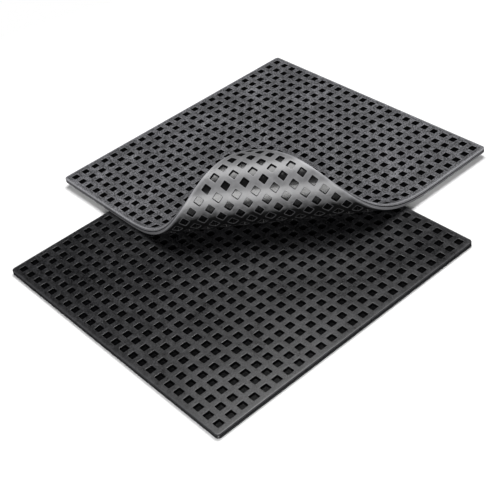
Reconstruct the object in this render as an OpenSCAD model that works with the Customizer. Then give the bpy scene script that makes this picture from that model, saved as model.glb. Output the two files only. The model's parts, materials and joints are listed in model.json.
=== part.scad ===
// Two identical square moulded-rubber waffle mats. The lower one lies flat. The upper one lies on it,
// set back, with its front corner curled up and over. The curled corner is a chain of narrow strips
// that turn on one another, so that it can be laid flat again.

/* [Mat] */
// Side of each square mat
mat_side = 450; // [446:1:480]
// Thickness of each mat
mat_t = 8; // [6:0.5:12]
// Radius of the mat's corners, seen from above
corner_r = 5; // [2:0.5:8]
// Height of the shallow groove round the edge, half way up
groove_h = 1.2; // [0.8:0.1:1.6]
// Depth of that groove
groove_d = 0.8; // [0.4:0.1:1.2]

/* [Waffle pockets] */
// Pockets along one side of the mat
pocket_n = 24; // [12:1:24]
// Distance from one pocket to the next
pocket_pitch = 18.4; // [16:0.1:18.6]
// Width of a square pocket
pocket_w = 10.2; // [6:0.1:10.4]
// Rubber left between an upper pocket and the lower pocket under it
web_t = 2; // [1:0.5:3]

/* [Stack] */
// How far the upper mat's middle is to the right of the lower mat's
upper_x = -116; // [-150:1:0]
// How far the upper mat's middle is behind the lower mat's
upper_y = 171; // [0:1:200]
// Gap left between faces of different pieces
gap = 0.3; // [0.2:0.05:0.5]

/* [Curled corner] */
// Turn of the curl from the flat mat to the corner's tip
curl_angle = 210; // [120:5:220]
// Direction from the mat's middle in which the mat curls
curl_dir = -41.25; // [-50:0.25:-40]
// Distance from the mat's middle at which the curl starts
curl_start = 92; // [85:1:100]
// Length of mat over which the curl builds up
curl_length = 230; // [225:1:240]

/* [Hidden] */
strip_n = 10;
pocket_depth = (mat_t - web_t) / 2;
// Height of the upper mat's middle plane
upper_z = mat_t + gap + mat_t / 2;
// Turn of each strip on the one before it
hinge_angle = curl_angle / strip_n;
// Longer than the mat in every direction
reach = 2 * mat_side;
// Overlap that keeps a cut clean
eps = 1;
rubber = [0.16, 0.16, 0.17];
$fn = 48;

// The mat turns by curl_angle * s(x), where s is the smooth step 3x^2 - 2x^3 of the distance along
// the curl. This is the inverse of s: the share of curl_length at which a share y of the turn is done.
function step_inverse(y) = 0.5 - sin(asin(1 - 2 * y) / 3);

// Distance from the mat's middle to hinge k, so that every hinge has the same turn
function hinge_at(k) = curl_start + curl_length * step_inverse((k - 0.5) / strip_n);

// Where hinge k lies on the curled mat: distance along curl_dir, and height over the middle plane
function hinge_place(k) =
    k == 1
    ? [hinge_at(1), 0]
    : hinge_place(k - 1)
      + (hinge_at(k) - hinge_at(k - 1)) * [cos((k - 1) * hinge_angle), sin((k - 1) * hinge_angle)];

// Where the nearer and further edge of strip k lie on the flat mat. Strip 0 is the mat's flat part.
function strip_from(k) = k == 0 ? -reach : hinge_at(k);
function strip_to(k) = k == strip_n ? reach : hinge_at(k + 1);

function pocket_at(i) = (i - (pocket_n - 1) / 2) * pocket_pitch;
function along_curl(x, y) = x * cos(curl_dir) + y * sin(curl_dir);

// One square pocket in each face, one under the other
module pocket_pair() {
    for (side = [-1, 1])
        translate([0, 0, side * (web_t / 2 + pocket_depth / 2 + eps / 2)])
            cube([pocket_w, pocket_w, pocket_depth + eps], center = true);
}

// The pockets that reach into the part of the mat between two distances along curl_dir
module pockets(from, to) {
    for (i = [0 : pocket_n - 1])
        for (j = [0 : pocket_n - 1])
            if (along_curl(pocket_at(i), pocket_at(j)) > from - pocket_w
                && along_curl(pocket_at(i), pocket_at(j)) < to + pocket_w)
                translate([pocket_at(i), pocket_at(j), 0])
                    pocket_pair();
}

// Square outline with round corners
module outline(side, r) {
    difference() {
        square(side, center = true);
        for (turn = [0 : 90 : 270])
            rotate(turn)
                translate([side / 2 - r, side / 2 - r])
                    difference() {
                        square(r + eps);
                        circle(r);
                    }
    }
}

// The mat as a plain slab about its middle plane, with the groove round its edge
module slab() {
    difference() {
        linear_extrude(mat_t, center = true)
            outline(mat_side, corner_r);
        linear_extrude(groove_h, center = true)
            difference() {
                square(mat_side + 2 * eps, center = true);
                outline(mat_side - 2 * groove_d, corner_r - groove_d);
            }
    }
}

// Everything between the two edges of strip k. The upper half leans back at each hinge by half the
// hinge's turn, so that neighbours clear each other when the corner is curled.
module strip_space(k) {
    lean = mat_t / 2 * tan(hinge_angle / 2);
    from = strip_from(k) + gap / 2;
    to = strip_to(k) - gap / 2;
    half = mat_t / 2;
    rotate([0, 0, curl_dir])
        rotate([90, 0, 0])
            linear_extrude(reach, center = true)
                polygon([[from, -half - eps], [to, -half - eps], [to, 0], [to - lean, half],
                         [to - lean, half + eps], [from + lean, half + eps],
                         [from + lean, half], [from, 0]]);
}

// Strip k as it is on the flat mat
module flat_strip(k) {
    difference() {
        intersection() {
            slab();
            strip_space(k);
        }
        pockets(strip_from(k), strip_to(k));
    }
}

// Strip k turned up to its place in the curl
module curled_strip(k) {
    place = hinge_place(k);
    color(rubber)
        translate([upper_x, upper_y, upper_z])
            rotate([0, 0, curl_dir])
                translate([place[0], 0, place[1]])
                    rotate([0, -k * hinge_angle, 0])
                        translate([-hinge_at(k), 0, 0])
                            rotate([0, 0, -curl_dir])
                                flat_strip(k);
}

module lower_mat() {
    color(rubber)
        translate([0, 0, mat_t / 2])
            difference() {
                slab();
                pockets(-reach, reach);
            }
}

module upper_mat() {
    color(rubber)
        translate([upper_x, upper_y, upper_z])
            flat_strip(0);
}

lower_mat();
upper_mat();
curled_strip(1);  // corner_strip_1
curled_strip(2);  // corner_strip_2
curled_strip(3);  // corner_strip_3
curled_strip(4);  // corner_strip_4
curled_strip(5);  // corner_strip_5
curled_strip(6);  // corner_strip_6
curled_strip(7);  // corner_strip_7
curled_strip(8);  // corner_strip_8
curled_strip(9);  // corner_strip_9
curled_strip(10);  // corner_strip_10
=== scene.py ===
import json
import math

import bmesh
import bpy
import numpy as np
from mathutils import Matrix, Vector


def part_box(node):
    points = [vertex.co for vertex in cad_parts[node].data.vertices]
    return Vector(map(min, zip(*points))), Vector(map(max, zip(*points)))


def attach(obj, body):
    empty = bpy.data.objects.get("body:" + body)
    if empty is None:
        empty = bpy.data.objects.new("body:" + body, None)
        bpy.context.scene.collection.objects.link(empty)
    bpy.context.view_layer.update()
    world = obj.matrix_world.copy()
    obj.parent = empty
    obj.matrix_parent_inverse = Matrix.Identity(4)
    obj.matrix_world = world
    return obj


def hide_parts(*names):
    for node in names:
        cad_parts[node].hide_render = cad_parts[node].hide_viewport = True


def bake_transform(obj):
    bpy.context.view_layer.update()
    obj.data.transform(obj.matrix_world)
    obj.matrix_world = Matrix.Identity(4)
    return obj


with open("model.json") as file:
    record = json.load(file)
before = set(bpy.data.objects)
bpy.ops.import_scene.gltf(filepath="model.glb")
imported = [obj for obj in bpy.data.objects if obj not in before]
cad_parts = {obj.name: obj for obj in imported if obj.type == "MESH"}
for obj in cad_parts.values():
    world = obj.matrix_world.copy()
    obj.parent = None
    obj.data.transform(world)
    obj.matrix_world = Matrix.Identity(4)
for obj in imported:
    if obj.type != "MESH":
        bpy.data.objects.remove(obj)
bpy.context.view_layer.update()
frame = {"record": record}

# ---------------------------------------------------------------- sizes, in metres
MM = 0.001
MAT_LOW, MAT_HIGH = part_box("lower_mat")
MAT_SIDE = MAT_HIGH.x - MAT_LOW.x
MAT_HALF = MAT_SIDE / 2
MAT_T = MAT_HIGH.z - MAT_LOW.z
HALF_T = MAT_T / 2
UPPER_LOW, UPPER_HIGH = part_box("upper_mat")
UPPER_MIDDLE = (UPPER_LOW + UPPER_HIGH) / 2
LOWER_MIDDLE = (MAT_LOW + MAT_HIGH) / 2

CORNER_R = 5 * MM
POCKET_N = 24
PITCH = 18.4 * MM
POCKET_HALF = 5.1 * MM
POCKET_DEPTH = 3 * MM
GROOVE_HALF = 0.6 * MM
GROOVE_D = 0.8 * MM

# The curl, with the CAD model's own values
JOINTS = {j["name"]: j for j in frame["record"]["behaviour"]["joints"]}
HINGE_N = 10
CURL_ANGLE = math.radians(210)
CURL_START = 92 * MM
CURL_LENGTH = 230 * MM


def flat_direction():
    """Unit vector towards the curled corner, square to the hinges."""
    axis = JOINTS["uncurl_1"]["axis"]
    return Vector((axis[1], -axis[0], 0)).normalized()


ALONG = flat_direction()
ACROSS = Vector((-ALONG.y, ALONG.x, 0))


# ---------------------------------------------------------------- the curl's shape
def smooth_step(x):
    x = np.clip(x, 0, 1)
    return x * x * (3 - 2 * x)


def curl_turn(u):
    """How far the mat has turned at distance u from its middle."""
    return CURL_ANGLE * smooth_step((u - CURL_START) / CURL_LENGTH)


CURVE_STEP = 0.25 * MM
CURVE_END = CURL_START + 1.2 * CURL_LENGTH  # past the mat's corner
CURVE_U = np.arange(CURL_START, CURVE_END, CURVE_STEP)


def running_sum(values):
    """The curve's place from its slope, by the trapezium rule."""
    return np.concatenate([[0], np.cumsum((values[1:] + values[:-1]) / 2 * CURVE_STEP)])


CURVE_X = CURL_START + running_sum(np.cos(curl_turn(CURVE_U)))
CURVE_Z = running_sum(np.sin(curl_turn(CURVE_U)))


def curled(points):
    """Points of the flat upper mat, about its own middle, moved to where they lie on the curled mat."""
    along, across = np.array(ALONG), np.array(ACROSS)
    u, v = points @ along, points @ across
    bent = u > CURL_START
    turn = np.where(bent, curl_turn(u), 0)
    x = np.where(bent, np.interp(u, CURVE_U, CURVE_X), u)
    z = np.where(bent, np.interp(u, CURVE_U, CURVE_Z), 0)
    x = x - points[:, 2] * np.sin(turn)
    z = z + points[:, 2] * np.cos(turn)
    moved = np.outer(x, along) + np.outer(v, across)
    moved[:, 2] = z
    return moved


def step_inverse(y):
    """The share of the curl's length at which a share y of its turn is done."""
    return 0.5 - math.sin(math.asin(1 - 2 * y) / 3)


def hinge_at(k):
    return CURL_START + CURL_LENGTH * step_inverse((k - 0.5) / HINGE_N)


# ---------------------------------------------------------------- the waffle sheet
CORNER_STEPS = 2  # a pocket's corner arcs are drawn in this many steps
CELL_CUT = 0.3 * PITCH  # where a cell's edge points stand, from its corner


def rounded_ring(half, radius):
    """Points round a square with round corners, anticlockwise."""
    points = []
    for quarter in range(4):
        for step in range(CORNER_STEPS + 1):
            angle = math.radians(90 * step / CORNER_STEPS)
            x = half - radius + radius * math.cos(angle)
            y = half - radius + radius * math.sin(angle)
            points.append(turned(x, y, quarter))
    return points


def turned(x, y, quarters):
    """A point turned about the origin by quarter turns."""
    for _ in range(quarters % 4):
        x, y = -y, x
    return (x, y)


def cell_ring():
    """The edge of one cell of the grid: a corner point, and a point on each side of it."""
    half = PITCH / 2
    corner = [(half, half - CELL_CUT), (half, half), (half - CELL_CUT, half)]
    return [turned(x, y, quarter) for quarter in range(4) for (x, y) in corner]


# A pocket from the rib's face down to its floor:
# half width, corner radius, height from the mat's middle plane, how deep in the pocket (0 to 1, which
# paints the pocket's shade near black), wear and painted highlight on the rib's edge
POCKET_RINGS = [
    (POCKET_HALF + 1.0 * MM, 1.7 * MM, HALF_T, 0.0, 0.0),
    (POCKET_HALF + 0.4 * MM, 1.2 * MM, HALF_T, 0.0, 0.4),
    (POCKET_HALF + 0.12 * MM, 1.0 * MM, HALF_T - 0.12 * MM, 0.6, 0.3),
    (POCKET_HALF, 0.9 * MM, HALF_T - 0.4 * MM, 1.0, 0.0),
    (POCKET_HALF - 0.1 * MM, 0.9 * MM, HALF_T - 1.0 * MM, 1.0, 0.0),
    (POCKET_HALF - 0.3 * MM, 0.8 * MM, HALF_T - POCKET_DEPTH, 1.0, 0.0),
]

RIM_LOOPS = 5  # the cell's own edge and the rings down to where the pocket's wall starts

# The mat's edge, from its upper face to the middle of the groove:
# inset, height, how deep in the groove (0 to 1, which paints the groove's shade near black), wear and
# painted highlight on the arrises and the side
EDGE_R = 0.8 * MM
ARC_30 = 0.134  # how far a round edge of radius 1 has fallen away after 30 degrees
EDGE_PROFILE = [
    (2.0 * EDGE_R, HALF_T, 0.0, 0.3),
    (EDGE_R, HALF_T, 0.0, 0.5),
    (0.5 * EDGE_R, HALF_T - ARC_30 * EDGE_R, 0.0, 0.8),
    (ARC_30 * EDGE_R, HALF_T - 0.5 * EDGE_R, 0.0, 0.7),
    (0, HALF_T - EDGE_R, 0.0, 0.45),
    (0, GROOVE_HALF + 0.35 * MM, 0.0, 0.4),
    (0.12 * MM, GROOVE_HALF + 0.05 * MM, 0.2, 0.3),
    (GROOVE_D, GROOVE_HALF - 0.2 * MM, 1.0, 0.0),
]
ARC_STEPS = 4  # the mat's corner arcs are drawn in this many steps
LEAST_R = 0.5 * MM  # the least radius of a corner arc, however far it is inset


# Which of a piece's two materials a face has: the rubber's own sheen, or the dull one
RIB_FINISH, POCKET_FINISH = 0, 1


class Sheet:
    """Collects vertices, welded where they coincide, and the faces between them."""

    def __init__(self):
        self.index = {}
        self.points, self.recess, self.wear, self.faces, self.finish = [], [], [], [], []

    def vertex(self, x, y, z, recess=0.0, wear=0.0):
        key = (round(x * 1e6), round(y * 1e6), round(z * 1e6))
        if key not in self.index:
            self.index[key] = len(self.points)
            self.points.append((x, y, z))
            self.recess.append(recess)
            self.wear.append(wear)
        return self.index[key]

    def face(self, corners, flip, finish=RIB_FINISH):
        self.faces.append(corners[::-1] if flip else corners)
        self.finish.append(finish)


def pocket_centre(i):
    return (i - (POCKET_N - 1) / 2) * PITCH


def add_cell(sheet, x0, y0, side):
    """One pocket and the half ribs round it. side is 1 for the upper face and -1 for the underside.

    The pockets of the upper face are dull inside, and those of the underside as glossy as its ribs.
    """
    inside = POCKET_FINISH if side > 0 else RIB_FINISH
    loops = [[sheet.vertex(x0 + x, y0 + y, side * HALF_T) for (x, y) in cell_ring()]]
    for half, radius, height, recess, wear in POCKET_RINGS:
        ring = rounded_ring(half, radius)
        loops.append([sheet.vertex(x0 + x, y0 + y, side * height, recess, wear) for (x, y) in ring])
    join_loops(sheet, loops[:RIM_LOOPS], side < 0)
    join_loops(sheet, loops[RIM_LOOPS - 1:], side < 0, inside)
    sheet.face(loops[-1], side < 0, inside)


def join_loops(sheet, loops, flip, finish=RIB_FINISH):
    """Quads between loops of the same length, each inside the one before."""
    for outer, inner in zip(loops, loops[1:]):
        count = len(outer)
        for k in range(count):
            n = (k + 1) % count
            sheet.face([outer[k], outer[n], inner[n], inner[k]], flip, finish)


def grid_edge(sheet, side):
    """The loop round the grid of cells, as (is a corner, place along the side, quarter, vertex)."""
    reach = POCKET_N / 2 * PITCH
    found = []
    for quarter in range(4):
        places = []
        for i in range(POCKET_N):
            middle = pocket_centre(i)
            places += [middle - PITCH / 2 + CELL_CUT, middle + PITCH / 2 - CELL_CUT, middle + PITCH / 2]
        for y in places:
            x, yy = turned(reach, y, quarter)
            found.append((y > reach - CELL_CUT / 2, y, quarter, sheet.vertex(x, yy, side * HALF_T)))
    return found


def edge_loop(sheet, start, inset, height, recess, wear):
    """One loop round the mat's edge. Each grid corner has an arc of points, and any other place one."""
    half = MAT_HALF - inset
    radius = max(CORNER_R - inset, LEAST_R)
    loop = []
    for is_corner, y, quarter, _ in start:
        if is_corner:
            steps = [math.radians(90 * k / ARC_STEPS) for k in range(ARC_STEPS + 1)]
            centre = half - radius
            spots = [(centre + radius * math.cos(a), centre + radius * math.sin(a)) for a in steps]
        else:
            spots = [(half, y)]
        loop.append([sheet.vertex(*turned(a, b, quarter), height, recess, wear) for (a, b) in spots])
    return loop


def add_edge(sheet):
    """The rim outside the grid and the mat's side, with its groove."""
    upper, lower = grid_edge(sheet, 1), grid_edge(sheet, -1)
    profile = EDGE_PROFILE + [(inset, -z, depth, wear) for inset, z, depth, wear in EDGE_PROFILE[::-1]]
    loops = [edge_loop(sheet, upper, *row) for row in profile]
    for start, loop, flip in ((upper, loops[0], False), (lower, loops[-1], True)):
        count = len(start)
        for k in range(count):
            n = (k + 1) % count
            here, there = start[k][3], start[n][3]
            sheet.face([here, loop[k][-1], loop[n][0], there], flip)
            for a, b in zip(loop[k], loop[k][1:]):
                sheet.face([here, a, b], flip)
    rounds = [[v for spots in loop for v in spots] for loop in loops]
    for high, low in zip(rounds, rounds[1:]):
        count = len(high)
        for k in range(count):
            n = (k + 1) % count
            sheet.face([high[k], low[k], low[n], high[n]], False)


def waffle_sheet():
    """One whole flat mat about its own middle, as a bmesh."""
    sheet = Sheet()
    for side in (1, -1):
        for i in range(POCKET_N):
            for j in range(POCKET_N):
                add_cell(sheet, pocket_centre(i), pocket_centre(j), side)
    add_edge(sheet)
    mesh = bpy.data.meshes.new("waffle")
    mesh.from_pydata(sheet.points, [], sheet.faces)
    for name, values in (("recess", sheet.recess), ("wear", sheet.wear)):
        mesh.attributes.new(name, "FLOAT", "POINT").data.foreach_set("value", values)
    bm = bmesh.new()
    bm.from_mesh(mesh)
    bpy.data.meshes.remove(mesh)
    for f, finish in zip(bm.faces, sheet.finish):
        f.material_index = finish
        f.smooth = True
        if len(f.verts) > 4:  # a pocket's floor: flat, with a sharp edge
            for e in f.edges:
                e.smooth = False
    return bm


# ---------------------------------------------------------------- cutting and bending the upper mat
CUT_REACH = 1e-7  # a vertex this close to a cut lies on it


def cut(bm, u, keep_near=None, cap=False):
    """Cuts across the mat at distance u. keep_near True keeps the part nearer the middle."""
    geometry = bm.verts[:] + bm.edges[:] + bm.faces[:]
    result = bmesh.ops.bisect_plane(
        bm, geom=geometry, dist=CUT_REACH, plane_co=ALONG * u, plane_no=ALONG,
        clear_outer=keep_near is True, clear_inner=keep_near is False)
    if not cap:
        return
    edges = [e for e in result["geom_cut"] if isinstance(e, bmesh.types.BMEdge)]
    for e in edges:
        e.smooth = False
    for f in bmesh.ops.edgenet_fill(bm, edges=edges)["faces"]:
        f.smooth = False


def split_sheet(bm, u):
    """(nearer part, further part) of the sheet, each closed at the cut."""
    far = bm.copy()
    cut(bm, u, keep_near=True, cap=True)
    cut(far, u, keep_near=False, cap=True)
    return bm, far


BEND_STEP = 4 * MM
SEAM_STEP = 0.5 * MM  # a narrow facet by each seam, so that the shading runs on across it


def refine(bm, start, end):
    """Cuts the piece across often enough to bend smoothly."""
    count = max(2, math.ceil((end - start) / BEND_STEP))
    places = [start + (end - start) * k / count for k in range(1, count)]
    places += [start + SEAM_STEP, end - SEAM_STEP]
    for u in sorted(places):
        if start < u < end:
            cut(bm, u)


def write_piece(bm, name, body_middle, dustiness, pattern_shift, bend=False):
    """Makes an object of the sheet: bent if asked, and moved to its mat's middle in the row frame."""
    if bend:
        bmesh.ops.triangulate(bm, faces=[f for f in bm.faces if len(f.verts) > 4])
    mesh = bpy.data.meshes.new(name)
    bm.to_mesh(mesh)
    bm.free()
    flat = np.zeros(len(mesh.vertices) * 3)
    mesh.vertices.foreach_get("co", flat)
    flat = flat.reshape(-1, 3)
    # Where each point lies on the flat mat, so that the pattern of dust and grain, and the painted light
    # on the underside, stays with the rubber
    pattern = mesh.attributes.new("flat_place", "FLOAT_VECTOR", "POINT")
    pattern.data.foreach_set("vector", (flat + np.array(pattern_shift)).ravel())
    dusty = mesh.attributes.new("dusty", "FLOAT", "POINT")
    dusty.data.foreach_set("value", np.full(len(flat), dustiness))
    placed = (curled(flat) if bend else flat) + np.array(body_middle)
    mesh.vertices.foreach_set("co", placed.ravel())
    mesh.update()
    piece = bpy.data.objects.new(name, mesh)
    bpy.context.scene.collection.objects.link(piece)
    piece.data.materials.append(RUBBER)
    piece.data.materials.append(DULL_RUBBER)
    return piece


# ---------------------------------------------------------------- materials
def node(tree, kind, inputs=(), **settings):
    """Adds a shader node with its properties and inputs. An input is a value or another node's output."""
    made = tree.nodes.new(kind)
    for key, value in settings.items():
        setattr(made, key, value)
    for key, value in dict(inputs).items():
        if isinstance(value, bpy.types.NodeSocket):
            tree.links.new(value, made.inputs[key])
        else:
            made.inputs[key].default_value = value
    return made


# Where a colour Mix node keeps its two colours and its result
MIX_A, MIX_B, MIX_RESULT = 6, 7, 2


def mixed(tree, factor, a, b, blend_type="MIX"):
    """The colour a turned to b by factor."""
    inputs = {0: factor, MIX_A: a, MIX_B: b}
    made = node(tree, "ShaderNodeMix", inputs, data_type="RGBA", blend_type=blend_type)
    return made.outputs[MIX_RESULT]


def mapped(tree, value, low, high, to_low, to_high):
    """value carried from one range to another, and held at its ends."""
    settings = {"Value": value, "From Min": low, "From Max": high, "To Min": to_low, "To Max": to_high}
    return node(tree, "ShaderNodeMapRange", settings).outputs["Result"]


def maths(tree, operation, a, b):
    return node(tree, "ShaderNodeMath", {0: a, 1: b}, operation=operation).outputs["Value"]


def noise(tree, place, scale, detail):
    settings = {"Vector": place, "Scale": scale, "Detail": detail, "Roughness": 0.6}
    return node(tree, "ShaderNodeTexNoise", settings).outputs["Fac"]


def grey(value, blue=1.0):
    return (value, value, value * blue, 1)


# Greys of the rubber's parts
RIB_GREY = 0.062
# The underside's black rubber, darkened to near black: painted shade under the curl's lower turn
UNDER_SHADE_GREY = 0.003
WORN_AND_HIGHLIGHT_GREY = 0.42
LINT_GREY = 0.45
# Pockets and groove near black: painted shade
POCKET_SHADE_GREY = 0.0015
# Painted light: the underside is lighter towards the curled corner, where the curl turns up into the
# light, from the first to the second distance; short of that it keeps its near-black painted shade
UNDER_PAINTED_LIGHT_GREY = 0.115
PAINTED_LIGHT_START = 190 * MM
PAINTED_LIGHT_END = 203 * MM
PAINTED_LIGHT_RAGGED = 3 * MM  # how far that border wanders each way
# How much of the upper mat's dust, wear and painted edge highlight the lower mat has
LOWER_DUST = 0.2
WEAR_AND_HIGHLIGHT_SHARE = 0.6  # how far a fully worn edge turns to the worn grey, lighter with wear and with painted highlight

# Roughness: ribs dusty and clean, underside, pocket floors above and below, pocket walls
RIB_ROUGH = 0.55
CLEAN_ROUGH = 0.26
UNDER_ROUGH = 0.34
FLOOR_ROUGH = 0.17
UNDER_FLOOR_ROUGH = 0.28
WALL_ROUGH = 0.42
ROUGH_SPREAD = 0.05  # how far each of the two coarser patterns shifts it

# The rubber's patterns, as waves to a metre
BLOTCH_SCALE = 14
SMEAR_SCALE = 90
SPECKLE_SCALE = 560
LINT_SCALE = 700
GRAIN_SCALE = 1500
# The least and the most that each pattern multiplies the rubber's grey by
BLOTCH_RANGE = (0.8, 1.2)
SMEAR_RANGE = (0.8, 1.2)
SPECKLE_RANGE = (0.0, 2.0)
# The noise levels between which lint appears, and how far it covers the rubber
LINT_FROM, LINT_TO, LINT_STRENGTH = 0.74, 0.78, 0.7

SPECULAR = 0.35
DULL_SPECULAR = 0.06
BUMP_STRENGTH = 0.3
BUMP_HEIGHT = 0.12 * MM


def rubber_material(name, specular):
    """Moulded black rubber: dusty on the upper ribs, and smoother underneath; painted shade, near black,
    on the underside, in the pockets and in the groove; painted light on the curled corner's underside;
    edges lighter with wear and painted highlight.
    """
    material = bpy.data.materials.new(name)
    material.use_nodes = True
    tree = material.node_tree
    tree.nodes.clear()
    place = node(tree, "ShaderNodeAttribute", attribute_name="flat_place").outputs["Vector"]
    recess = node(tree, "ShaderNodeAttribute", attribute_name="recess").outputs["Fac"]
    wear = node(tree, "ShaderNodeAttribute", attribute_name="wear").outputs["Fac"]
    dusty = node(tree, "ShaderNodeAttribute", attribute_name="dusty").outputs["Fac"]
    height = node(tree, "ShaderNodeSeparateXYZ", {"Vector": place}).outputs["Z"]
    above = mapped(tree, height, -HALF_T / 2, HALF_T / 2, 0, 1)
    blotch = noise(tree, place, BLOTCH_SCALE, 5)
    smear = noise(tree, place, SMEAR_SCALE, 4)
    speckle = noise(tree, place, SPECKLE_SCALE, 4)
    grain = noise(tree, place, GRAIN_SCALE, 3)

    dust = maths(tree, "MULTIPLY", mapped(tree, blotch, 0.38, 0.62, *BLOTCH_RANGE),
                 mapped(tree, speckle, 0.42, 0.58, *SPECKLE_RANGE))
    dust = maths(tree, "MULTIPLY", dust, mapped(tree, smear, 0.4, 0.6, *SMEAR_RANGE))
    product = node(tree, "ShaderNodeVectorMath", {0: place, 1: ALONG}, operation="DOT_PRODUCT")
    along = product.outputs["Value"]
    # The underside: near-black painted shade, turning to painted light towards the curled corner
    uneven = maths(tree, "ADD", along, mapped(tree, smear, 0.3, 0.7, -PAINTED_LIGHT_RAGGED, PAINTED_LIGHT_RAGGED))
    painted_light = mapped(tree, uneven, PAINTED_LIGHT_START, PAINTED_LIGHT_END, 0, 1)
    under_painted = mixed(tree, painted_light, grey(UNDER_SHADE_GREY, 1.05), grey(UNDER_PAINTED_LIGHT_GREY, 1.03))
    under_painted = mixed(tree, 1.0, under_painted, mapped(tree, smear, 0.3, 0.7, *SMEAR_RANGE), "MULTIPLY")
    dusted = mixed(tree, 1.0, grey(RIB_GREY, 1.08), dust, "MULTIPLY")
    rib = mixed(tree, above, under_painted, dusted)
    # Edges lighter with wear and with painted highlight on the arrises and the mat's side
    worn_and_lit = mixed(tree, maths(tree, "MULTIPLY", wear, WEAR_AND_HIGHLIGHT_SHARE), rib, grey(WORN_AND_HIGHLIGHT_GREY, 1.05))
    worn_and_lit = mixed(tree, 1.0, worn_and_lit, dusty, "MULTIPLY")
    lint = mapped(tree, noise(tree, place, LINT_SCALE, 2), LINT_FROM, LINT_TO, 0, LINT_STRENGTH)
    specked = mixed(tree, lint, worn_and_lit, grey(LINT_GREY))
    # Painted shade: pockets and groove darkened to near black
    colour = mixed(tree, recess, specked, grey(POCKET_SHADE_GREY, 1.1))

    rib_rough = mapped(tree, dusty, 0, 1, CLEAN_ROUGH, RIB_ROUGH)
    matt = node(tree, "ShaderNodeMix", {0: above, 2: UNDER_ROUGH, 3: rib_rough}).outputs[0]
    matt = maths(tree, "ADD", matt, mapped(tree, blotch, 0.3, 0.7, -ROUGH_SPREAD, ROUGH_SPREAD))
    matt = maths(tree, "ADD", matt, mapped(tree, smear, 0.3, 0.7, -ROUGH_SPREAD, ROUGH_SPREAD))
    off_middle = node(tree, "ShaderNodeMath", {0: height}, operation="ABSOLUTE").outputs["Value"]
    floor_z = HALF_T - POCKET_DEPTH
    floor_rough = mapped(tree, above, 0, 1, UNDER_FLOOR_ROUGH, FLOOR_ROUGH)
    floor_end, wall_start = floor_z + 0.02 * MM, floor_z + 0.3 * MM
    inside = mapped(tree, off_middle, floor_end, wall_start, floor_rough, WALL_ROUGH)
    rough = node(tree, "ShaderNodeMix", {0: recess, 2: matt, 3: inside}).outputs[0]
    relief = maths(tree, "ADD", grain, maths(tree, "MULTIPLY", speckle, 1.5))
    bump_inputs = {"Strength": BUMP_STRENGTH, "Distance": BUMP_HEIGHT, "Height": relief}
    bump = node(tree, "ShaderNodeBump", bump_inputs)
    shader = node(tree, "ShaderNodeBsdfPrincipled", {
        "Base Color": colour, "Roughness": rough, "Normal": bump.outputs["Normal"],
        "Specular IOR Level": specular})
    output = node(tree, "ShaderNodeOutputMaterial")
    tree.links.new(shader.outputs["BSDF"], output.inputs["Surface"])
    return material


FLOOR_GREY = 0.86


def floor_material():
    material = bpy.data.materials.new("pale_floor")
    material.use_nodes = True
    shader = material.node_tree.nodes["Principled BSDF"]
    shader.inputs["Base Color"].default_value = grey(FLOOR_GREY)
    shader.inputs["Roughness"].default_value = 0.9
    shader.inputs["Specular IOR Level"].default_value = 0.1
    return material


RUBBER = rubber_material("moulded_rubber", SPECULAR)
DULL_RUBBER = rubber_material("pocket_rubber", DULL_SPECULAR)


# ---------------------------------------------------------------- the two mats
# Where each mat's dust, grain and painted light are taken from the pattern, so that the two differ and
# the lower mat has none of the curled corner's painted light
UPPER_PATTERN = (0, 0, 0)
LOWER_PATTERN = (-1.0, 0, 0)


def build_lower_mat(sheet):
    piece = write_piece(sheet, "lower_mat_rubber", LOWER_MIDDLE, LOWER_DUST, LOWER_PATTERN)
    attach(piece, "lower_mat")
    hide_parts("lower_mat")


def seam_at(k):
    """Where the piece around hinge k ends: half way to the next hinge, or the mat's corner."""
    if k == 0:
        return hinge_at(1) - (hinge_at(2) - hinge_at(1)) / 2
    if k == HINGE_N:
        return MAT_HALF * math.sqrt(2)
    return (hinge_at(k) + hinge_at(k + 1)) / 2


SEAM_INSET = 0.06  # share of a piece, at each end, at which a point on the curl is worked out


def on_curl(u):
    """The point of the row frame where the curl's middle line is at distance u."""
    return Vector(curled(np.array([ALONG * u]))[0]) + UPPER_MIDDLE


def build_upper_mat(sheet):
    """The flat part, and the curled corner in pieces, each around one hinge, curled into their rest
    shape.
    """
    flat, rest = split_sheet(sheet, seam_at(0))
    pieces = [(0, flat)]
    for k in range(1, HINGE_N):
        strip, rest = split_sheet(rest, seam_at(k))
        pieces.append((k, strip))
    pieces.append((HINGE_N, rest))
    for k, strip in pieces:
        if k == 0:
            refine(strip, CURL_START, seam_at(0))
            piece = write_piece(strip, "upper_mat_rubber", UPPER_MIDDLE, 1.0, UPPER_PATTERN, bend=True)
            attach(piece, "upper_mat")
            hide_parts("upper_mat")
            continue
        start, end = seam_at(k - 1), seam_at(k)
        refine(strip, start, end)
        piece = write_piece(strip, f"corner_rubber_{k}", UPPER_MIDDLE, 1.0, UPPER_PATTERN, bend=True)
        inset = (end - start) * SEAM_INSET
        turn_end = 2 * hinge_at(k) - start if k == HINGE_N else end
        on_curl(start + inset)
        on_curl(turn_end - inset)
        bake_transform(piece)
        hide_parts(f"corner_strip_{k}")


SHEET = waffle_sheet()
build_upper_mat(SHEET.copy())
build_lower_mat(SHEET)


# ---------------------------------------------------------------- floor, light and camera
FLOOR_RADIUS = 0.88
FLOOR_DROP = 0.2 * MM  # how far the floor is under the mat, so that the two faces don't coincide


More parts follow.
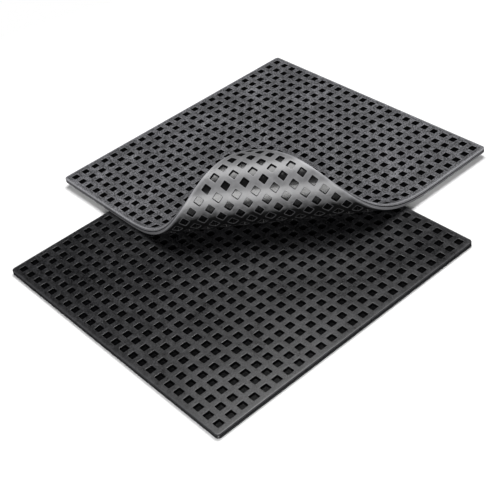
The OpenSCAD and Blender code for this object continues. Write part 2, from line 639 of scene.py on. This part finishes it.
def build_floor():
    """A round white floor, small enough to be lit evenly, in front of the white backdrop."""
    mesh = bpy.data.meshes.new("floor")
    bm = bmesh.new()
    bmesh.ops.create_circle(bm, cap_ends=True, segments=96, radius=FLOOR_RADIUS)
    bm.to_mesh(mesh)
    bm.free()
    mesh.transform(Matrix.Translation((0, 0, MAT_LOW.z - FLOOR_DROP)))
    floor = bpy.data.objects.new("floor", mesh)
    bpy.context.scene.collection.objects.link(floor)
    floor.data.materials.append(floor_material())
    floor.visible_glossy = False


def direction(azimuth, elevation):
    """Unit vector from the object to a point of the sky. Azimuth 0 is the front, and 90 the right."""
    a, e = math.radians(azimuth), math.radians(elevation)
    return Vector((math.sin(a) * math.cos(e), -math.cos(a) * math.cos(e), math.sin(e)))


def add_light(name, azimuth, elevation, distance, width, height, power):
    """A rectangular soft light that faces the object."""
    lamp = bpy.data.lights.new(name, "AREA")
    lamp.shape = "RECTANGLE"
    lamp.size = width
    lamp.size_y = height
    lamp.energy = power
    light = bpy.data.objects.new(name, lamp)
    bpy.context.scene.collection.objects.link(light)
    towards = direction(azimuth, elevation)
    light.location = LIGHT_TARGET + towards * distance
    light.rotation_euler = towards.to_track_quat("Z", "Y").to_euler()


def build_world(strength):
    """A white backdrop that lights the object with the given strength only."""
    world = bpy.data.worlds.new("studio")
    world.use_nodes = True
    tree = world.node_tree
    seen = node(tree, "ShaderNodeLightPath").outputs["Is Camera Ray"]
    background = tree.nodes["Background"]
    background.inputs["Color"].default_value = grey(1)
    tree.links.new(mapped(tree, seen, 0, 1, strength, 1), background.inputs["Strength"])
    bpy.context.scene.world = world


CAMERA_AZIMUTH = 54.14
CAMERA_ELEVATION = 38.95
CAMERA_ROLL = -9.36
CAMERA_DISTANCE = 79.1 * PITCH
CAMERA_TARGET = Vector((0.346 * PITCH, 1.111 * PITCH, MAT_HIGH.z))
CAMERA_LENS = 76.65  # millimetres, on a 36 mm sensor


def build_camera():
    data = bpy.data.cameras.new("camera")
    data.lens = CAMERA_LENS
    data.sensor_width = 36
    data.clip_end = 50
    camera = bpy.data.objects.new("camera", data)
    bpy.context.scene.collection.objects.link(camera)
    back = direction(CAMERA_AZIMUTH, CAMERA_ELEVATION)
    azimuth, roll = math.radians(CAMERA_AZIMUTH), math.radians(CAMERA_ROLL)
    level = Vector((math.cos(azimuth), math.sin(azimuth), 0))
    upright = back.cross(level)
    right = math.cos(roll) * level + math.sin(roll) * upright
    up = math.cos(roll) * upright - math.sin(roll) * level
    turn = Matrix((right, up, back)).transposed()
    camera.matrix_world = Matrix.Translation(CAMERA_TARGET + back * CAMERA_DISTANCE) @ turn.to_4x4()
    bpy.context.scene.camera = camera


LIGHT_TARGET = (LOWER_MIDDLE + UPPER_MIDDLE) / 2
AMBIENT = 0.01
build_floor()
build_world(AMBIENT)
add_light("overhead", azimuth=205, elevation=76, distance=1.6, width=1.0, height=0.9, power=38)
add_light("front", azimuth=44, elevation=20, distance=2.4, width=0.5, height=1.5, power=62)
build_camera()
bpy.context.scene.view_settings.view_transform = "Standard"
